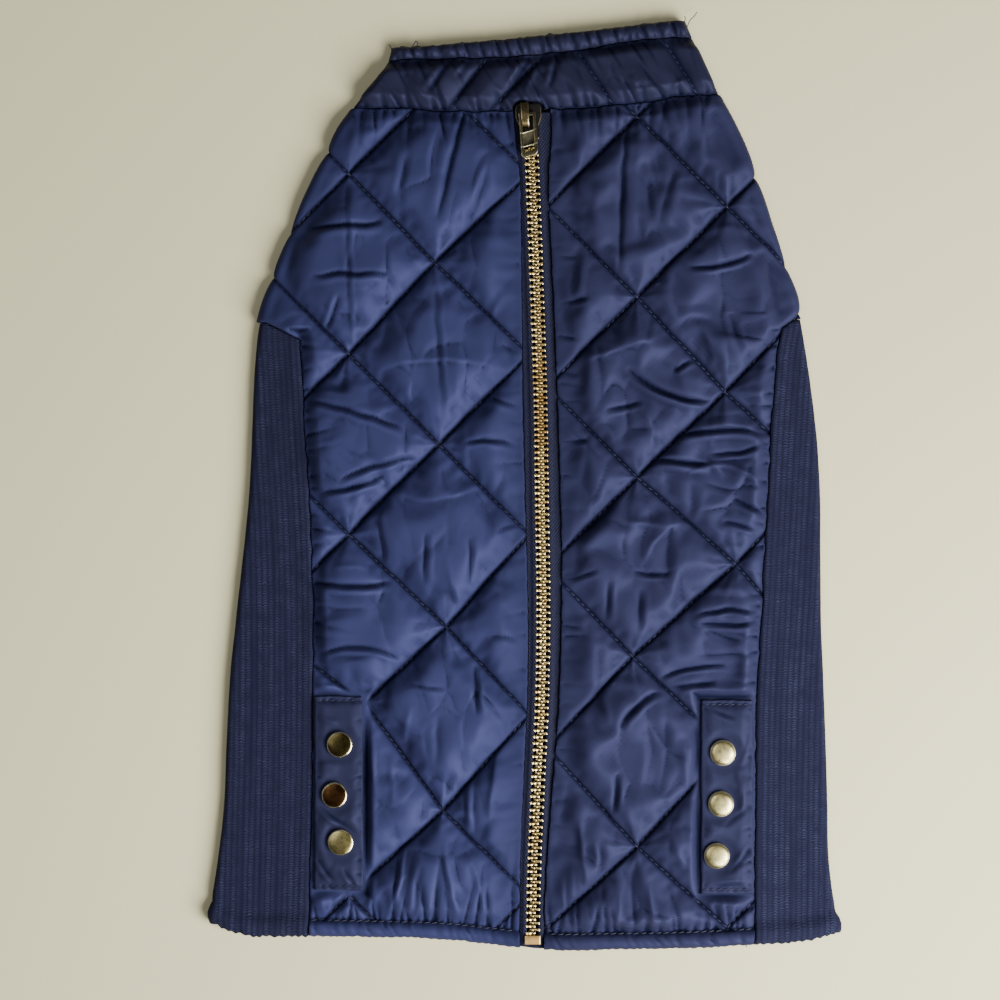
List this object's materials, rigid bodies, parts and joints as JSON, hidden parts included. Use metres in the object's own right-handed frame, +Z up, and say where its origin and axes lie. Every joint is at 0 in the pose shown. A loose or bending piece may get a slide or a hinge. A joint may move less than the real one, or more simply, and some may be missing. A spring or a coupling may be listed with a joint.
{
  "type": "dog winter coat",
  "caption": "Quilted satin dog coat lying flat, zipped up the back, with rib-knit sides and belly, a stand collar, welt tabs with domed snaps and leg holes underneath.",
  "frame": {"origin": "middle of the bounding box at the flat underside, where the coat rests", "axes": "+Z up out of the zip side, +Y toward the neck, +X to the right as seen from above with the neck up"},
  "size_m": [0.2447, 0.3577, 0.0097],
  "materials": {
    "quilted_satin": "semi-gloss satin",
    "rib_knit": "matt knit",
    "zip_tape": "matt twill",
    "brass": "polished",
    "aged_bronze": "antiqued satin",
    "gold": "mirror polish"
  },
  "bodies": {
    "coat": {"quilted_panel_left": "quilted_satin", "quilted_panel_right": "quilted_satin", "rib_panel": "rib_knit", "collar": "quilted_satin", "collar_casing": "quilted_satin", "welt_tab_left": "quilted_satin", "welt_tab_right": "quilted_satin", "zip_tape_left": "zip_tape", "zip_tape_right": "zip_tape", "zip_chain": "brass", "zip_stop": "brass", "zip_slider": "aged_bronze", "snap_left_1": "gold", "snap_left_2": "gold", "snap_left_3": "gold", "snap_right_1": "gold", "snap_right_2": "gold", "snap_right_3": "gold"},
    "pull_tab": {"zip_pull": "aged_bronze"}
  },
  "joints": [
    {"name": "pull_tab_hinge", "type": "hinge", "parent": "coat", "child": "pull_tab", "pos_m": [0.0003, 0.1422, 0.00725], "axis": [-0.9973, -0.0732, 0], "range_deg": [0, 165]}
  ]
}
